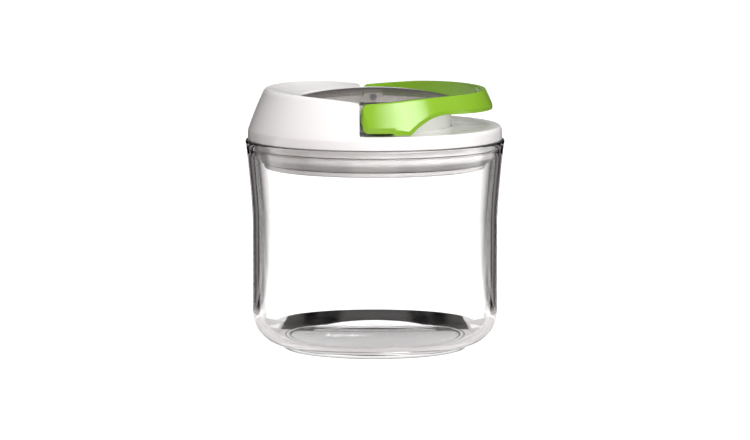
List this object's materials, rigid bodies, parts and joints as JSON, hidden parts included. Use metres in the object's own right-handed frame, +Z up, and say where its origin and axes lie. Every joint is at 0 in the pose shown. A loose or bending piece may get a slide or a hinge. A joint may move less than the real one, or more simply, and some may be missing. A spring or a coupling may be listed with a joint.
{
  "type": "food storage jar",
  "caption": "Round clear food jar with a white airtight lid, smoked window cap and a green swing lever that squeezes the gasket.",
  "frame": {"origin": "centre of the jar's foot ring, on the surface it stands on", "axes": "+Z up through the lid, +X towards the free end of the lever, Y along the lever's hinge"},
  "size_m": [0.1198, 0.1198, 0.1206],
  "materials": {
    "clear_acrylic": "clear, polished",
    "white_plastic": "glossy moulded",
    "plug_plastic": "satin moulded",
    "silicone": "soft satin",
    "green_plastic": "glossy moulded",
    "smoked_plastic": "smoked clear, polished",
    "steel": "plain stainless",
    "washer_plastic": "natural"
  },
  "bodies": {
    "jar": {"jar": "clear_acrylic"},
    "lid": {"lid_cover": "white_plastic", "lid_base": "plug_plastic", "gasket": "silicone", "spring_1": "steel", "spring_2": "steel", "spring_3": "steel", "base_screw_1": "steel", "base_screw_2": "steel", "base_screw_3": "steel", "base_screw_4": "steel"},
    "plunger": {"hub": "white_plastic", "pressure_plate": "plug_plastic", "window_cap": "smoked_plastic", "hinge_pin_front": "steel", "hinge_pin_rear": "steel", "hinge_washer_front": "washer_plastic", "hinge_washer_rear": "washer_plastic", "plate_screw_1": "steel", "plate_screw_2": "steel", "plate_screw_3": "steel"},
    "lever": {"handle": "green_plastic"}
  },
  "joints": [
    {"name": "lid_lift", "type": "slide", "parent": "jar", "child": "lid", "axis": [0, 0, 1], "range_m": [0, 0.15]},
    {"name": "plunger_drop", "type": "slide", "parent": "lid", "child": "plunger", "axis": [0, 0, -1], "range_m": [0, 0.0038], "deforming": ["gasket", "spring_1", "spring_2", "spring_3"]},
    {"name": "lever_swing", "type": "hinge", "parent": "plunger", "child": "lever", "pos_m": [-0.0008, 0, 0.1131], "axis": [0, -1, 0], "range_deg": [0, 90]}
  ],
  "couplings": [
    {"joint": "plunger_drop", "follows": "lever_swing", "m_per_rad": 0.0024}
  ]
}
